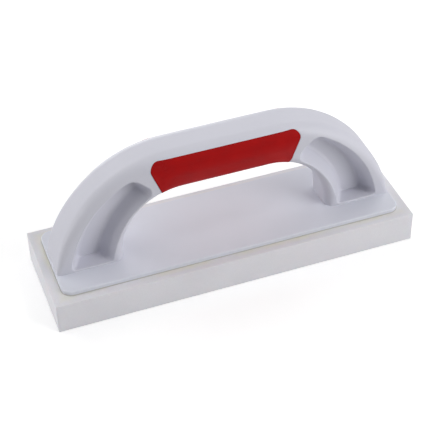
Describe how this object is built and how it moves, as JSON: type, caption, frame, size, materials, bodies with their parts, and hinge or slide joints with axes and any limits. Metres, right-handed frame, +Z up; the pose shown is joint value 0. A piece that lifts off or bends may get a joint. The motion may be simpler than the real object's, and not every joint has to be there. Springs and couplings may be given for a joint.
{
  "type": "sponge hand float",
  "caption": "Plasterer's hand float with a thick foam sole on a thin plate and a moulded arch handle with a soft grip.",
  "frame": {"origin": "middle of the foam sole's underside", "axes": "+X along the float, +Y across it, +Z up from the sole to the handle"},
  "size_m": [0.28, 0.086, 0.1124],
  "materials": {
    "foam": "fine closed-cell foam, white",
    "adhesive": "dried contact adhesive, satin",
    "plate_plastic": "satin moulded",
    "handle_plastic": "satin moulded",
    "grip_elastomer": "soft-touch matte",
    "screw_steel": "zinc plated"
  },
  "bodies": {
    "root": {"sole_pad": "foam", "adhesive_film": "adhesive", "backing_plate": "plate_plastic", "handle_body": "handle_plastic", "soft_grip": "grip_elastomer", "fixing_screw_left_outer": "screw_steel", "fixing_screw_left_inner": "screw_steel", "fixing_screw_right_inner": "screw_steel", "fixing_screw_right_outer": "screw_steel"}
  },
  "joints": []
}
